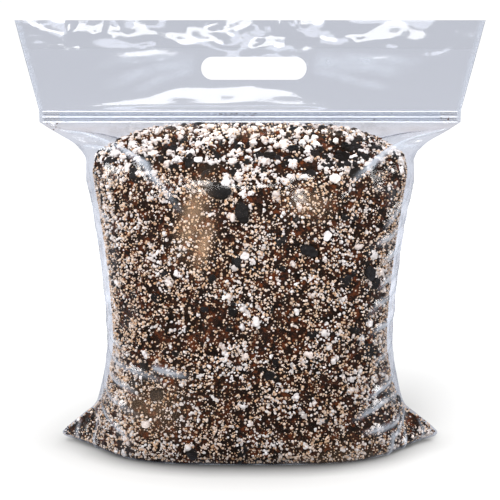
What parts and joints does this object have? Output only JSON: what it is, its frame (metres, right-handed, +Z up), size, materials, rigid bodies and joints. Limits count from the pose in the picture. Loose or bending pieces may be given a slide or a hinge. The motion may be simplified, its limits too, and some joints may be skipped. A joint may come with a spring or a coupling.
{
  "type": "clear zip bag of potting mix",
  "caption": "Clear press-to-close film bag with a die-cut hand hole in its header, filled with peaty potting mix, perlite and charcoal, standing on its flat bottom.",
  "frame": {"origin": "on the floor, under the middle of the bag: the middle of the bottom of its bounding box", "axes": "+Z up, the front of the bag faces -Y, +X to the right along the zip"},
  "size_m": [0.366, 0.157, 0.342],
  "materials": {
    "film": "clear, thin, glossy and lightly creased LDPE film",
    "zip": "clear extruded LDPE strip",
    "mix": "damp brown peat and coir with fine white perlite",
    "charcoal": "broken black charcoal",
    "perlite": "expanded white perlite, rough and bubbly"
  },
  "bodies": {
    "root": {"bag_film": "film", "zip_rib_strip": "zip", "zip_groove_strip": "zip", "potting_mix": "mix", "charcoal_lump_01": "charcoal", "charcoal_lump_02": "charcoal", "charcoal_lump_03": "charcoal", "charcoal_lump_04": "charcoal", "charcoal_lump_05": "charcoal", "charcoal_lump_06": "charcoal", "charcoal_lump_07": "charcoal", "charcoal_lump_08": "charcoal", "charcoal_lump_09": "charcoal", "charcoal_lump_10": "charcoal", "perlite_grain_01": "perlite", "perlite_grain_02": "perlite", "perlite_grain_03": "perlite", "perlite_grain_04": "perlite", "perlite_grain_05": "perlite", "perlite_grain_06": "perlite", "perlite_grain_07": "perlite", "perlite_grain_08": "perlite"}
  },
  "joints": []
}
